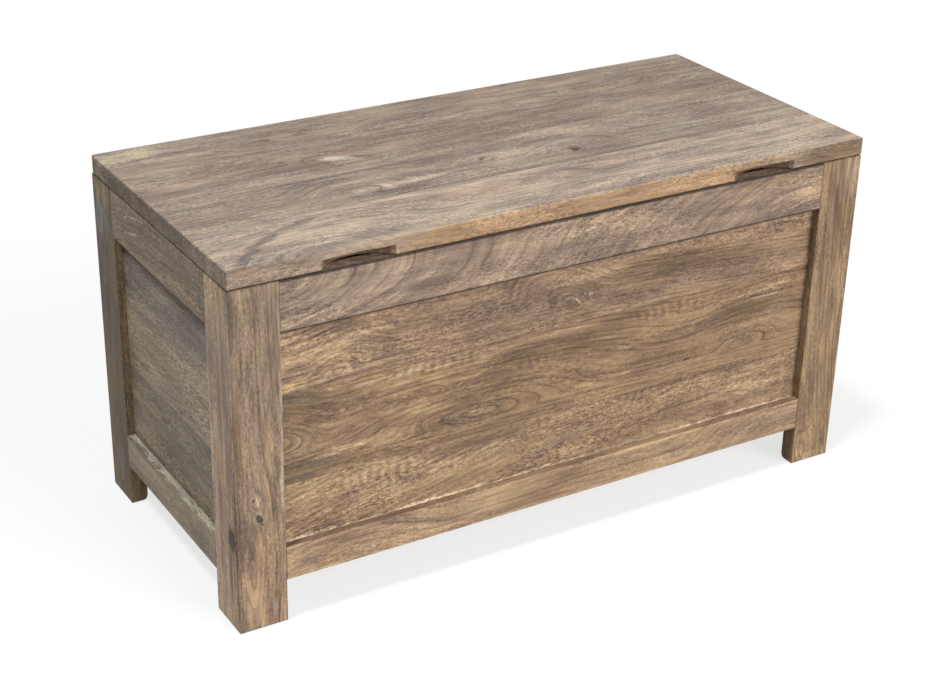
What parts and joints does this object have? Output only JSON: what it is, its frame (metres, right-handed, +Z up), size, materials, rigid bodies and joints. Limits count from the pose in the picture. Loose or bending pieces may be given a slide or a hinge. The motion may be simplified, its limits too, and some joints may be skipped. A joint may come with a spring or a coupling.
{
  "type": "lidded storage chest",
  "caption": "Low wooden storage chest on square feet, with framed recessed panels and a hinged plank lid that has finger pulls cut into its front edge.",
  "frame": {"origin": "on the floor, at the centre of the chest's box", "axes": "+Z up, +X along the chest's length to the right as seen from the front, -Y towards the front"},
  "size_m": [1, 0.4536, 0.522],
  "materials": {
    "lid_wood": "grey-washed, matt",
    "frame_wood": "grey-washed, matt",
    "panel_wood": "grey-washed, matt",
    "inner_wood": "bare, sanded",
    "plated_steel": "zinc plated",
    "grey_felt": "felt"
  },
  "bodies": {
    "carcass": {"back_bottom_rail": "frame_wood", "back_leg_left": "frame_wood", "back_leg_right": "frame_wood", "back_panel_bottom_board": "panel_wood", "back_panel_middle_board": "panel_wood", "back_panel_top_board": "panel_wood", "back_top_rail": "frame_wood", "cleat_screws": "plated_steel", "floor_board_1": "inner_wood", "floor_board_2": "inner_wood", "floor_board_3": "inner_wood", "floor_board_4": "inner_wood", "floor_cleat_back": "inner_wood", "floor_cleat_front": "inner_wood", "floor_cleat_left": "inner_wood", "floor_cleat_right": "inner_wood", "front_bottom_rail": "frame_wood", "front_leg_left": "frame_wood", "front_leg_right": "frame_wood", "front_panel_bottom_board": "panel_wood", "front_panel_middle_board": "panel_wood", "front_panel_top_board": "panel_wood", "front_top_rail": "frame_wood", "hinge_fixed_leaf_left": "plated_steel", "hinge_fixed_leaf_right": "plated_steel", "hinge_pin_left": "plated_steel", "hinge_pin_right": "plated_steel", "hinge_screws_rail": "plated_steel", "left_bottom_rail": "frame_wood", "left_leg_back": "frame_wood", "left_leg_front": "frame_wood", "left_panel_bottom_board": "panel_wood", "left_panel_middle_board": "panel_wood", "left_panel_top_board": "panel_wood", "left_top_rail": "frame_wood", "right_bottom_rail": "frame_wood", "right_leg_back": "frame_wood", "right_leg_front": "frame_wood", "right_panel_bottom_board": "panel_wood", "right_panel_middle_board": "panel_wood", "right_panel_top_board": "panel_wood", "right_top_rail": "frame_wood", "stay_lower_pivot": "plated_steel"},
    "lid": {"batten_screws": "plated_steel", "hinge_lid_leaf_left": "plated_steel", "hinge_lid_leaf_right": "plated_steel", "hinge_screws_lid": "plated_steel", "lid_back_board": "lid_wood", "lid_batten_left": "inner_wood", "lid_batten_right": "inner_wood", "lid_front_board": "lid_wood", "lid_pads": "grey_felt", "lid_second_board": "lid_wood", "lid_third_board": "lid_wood", "stay_upper_pivot": "plated_steel"},
    "stay_lower": {"stay_elbow_rivet": "plated_steel", "stay_lower_arm": "plated_steel"},
    "stay_upper": {"stay_upper_arm": "plated_steel"}
  },
  "joints": [
    {"name": "lid_hinge", "type": "hinge", "parent": "carcass", "child": "lid", "pos_m": [0, 0.22325, 0.496], "axis": [-1, 0, 0], "range_deg": [0, 100]},
    {"name": "stay_lower_turn", "type": "hinge", "parent": "carcass", "child": "stay_lower", "pos_m": [0.472, 0.17625, 0.38], "axis": [-1, 0, 0], "range_deg": [0, 100]},
    {"name": "stay_upper_turn", "type": "hinge", "parent": "lid", "child": "stay_upper", "pos_m": [0.47, 0.11625, 0.488], "axis": [-1, 0, 0], "range_deg": [-100, 0]}
  ],
  "couplings": [
    {"joint": "stay_lower_turn", "follows": "lid_hinge", "ratio": 1},
    {"joint": "stay_upper_turn", "follows": "lid_hinge", "ratio": -1}
  ]
}
